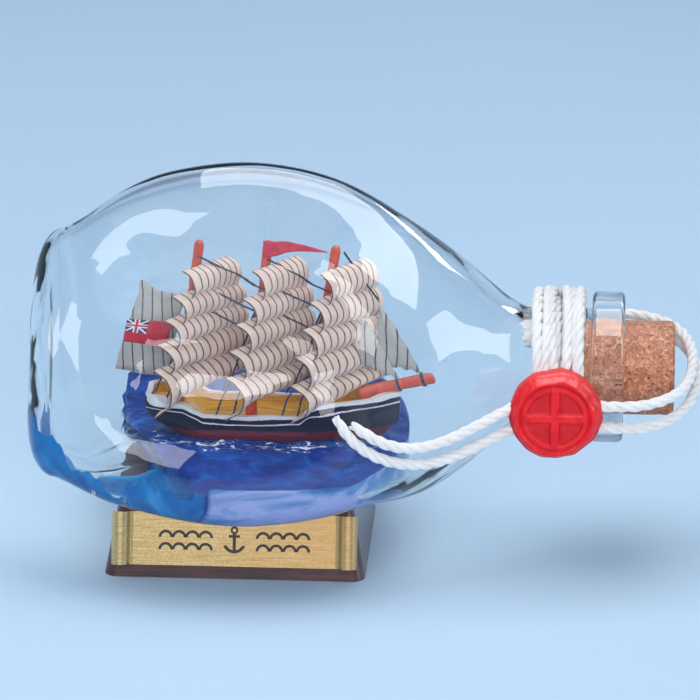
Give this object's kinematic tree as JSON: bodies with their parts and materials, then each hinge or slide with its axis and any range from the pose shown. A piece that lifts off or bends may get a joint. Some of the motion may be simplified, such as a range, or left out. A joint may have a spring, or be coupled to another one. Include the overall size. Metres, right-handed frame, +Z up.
{
  "type": "ship in a bottle",
  "caption": "Sailing ship on a blue sea inside a three-sided dimpled glass bottle lying on a wooden plinth with a brass plate; the neck is corked, wound with cord and sealed with wax.",
  "frame": {"origin": "centre of the plinth's underside, on the surface it stands on", "axes": "+X along the bottle towards its neck, +Z up, -Y is the front with the nameplate and the seal"},
  "size_m": [0.131, 0.0696, 0.0775],
  "materials": {
    "plinth_wood": "dark mahogany, satin varnish",
    "brass": "polished, slightly speckled",
    "enamel": "dark enamel line work",
    "bottle_glass": "clear, hand blown",
    "cork": "agglomerate cork with dark specks",
    "cord": "white twisted cotton",
    "wax": "red sealing wax, soft gloss",
    "sea": "cobalt blue, wet gloss",
    "hull_paint": "painted: navy with a white stripe over maroon",
    "deck_varnish": "amber varnish",
    "rail_paint": "white paint",
    "spar_wood": "red-orange paint",
    "sail_paper": "cream paper with dark curved seam lines",
    "flag_paper": "red printed paper",
    "thread": "dark navy thread"
  },
  "bodies": {
    "stand": {"plinth": "plinth_wood", "nameplate": "brass", "nameplate_anchor": "enamel", "nameplate_waves": "enamel"},
    "bottle": {"bottle": "bottle_glass", "sea": "sea", "neck_winding": "cord", "wax_seal": "wax", "cord_tail_upper": "cord", "cord_tail_lower": "cord", "cord_loop_upper": "cord", "cord_loop_lower": "cord", "hull": "hull_paint", "deck": "deck_varnish", "cap_rail": "rail_paint", "mizzen_mast": "spar_wood", "main_mast": "spar_wood", "fore_mast": "spar_wood", "bowsprit": "spar_wood", "bowsprit_lashings": "thread", "spanker": "sail_paper", "ensign": "flag_paper", "pennant": "flag_paper", "outer_jib": "sail_paper", "inner_jib": "sail_paper", "mizzen_sail_1": "sail_paper", "mizzen_sail_2": "sail_paper", "mizzen_sail_3": "sail_paper", "mizzen_sail_4": "sail_paper", "mizzen_sail_5": "sail_paper", "main_sail_1": "sail_paper", "main_sail_2": "sail_paper", "main_sail_3": "sail_paper", "main_sail_4": "sail_paper", "main_sail_5": "sail_paper", "fore_sail_1": "sail_paper", "fore_sail_2": "sail_paper", "fore_sail_3": "sail_paper", "fore_sail_4": "sail_paper", "fore_sail_5": "sail_paper", "fore_backstays_back": "thread", "fore_backstays_front": "thread", "inner_jib_stay": "thread", "main_backstays_back": "thread", "main_backstays_front": "thread", "main_stays": "thread", "mizzen_backstays_back": "thread", "mizzen_backstays_front": "thread", "mizzen_stays": "thread", "outer_jib_stay": "thread"},
    "cork": {"cork": "cork"}
  },
  "joints": [
    {"name": "bottle_lift", "type": "slide", "parent": "stand", "child": "bottle", "axis": [0, 0, 1], "range_m": [0, 0.05]},
    {"name": "cork_pull", "type": "slide", "parent": "bottle", "child": "cork", "axis": [1, 0, 0], "range_m": [0, 0.0008]}
  ]
}
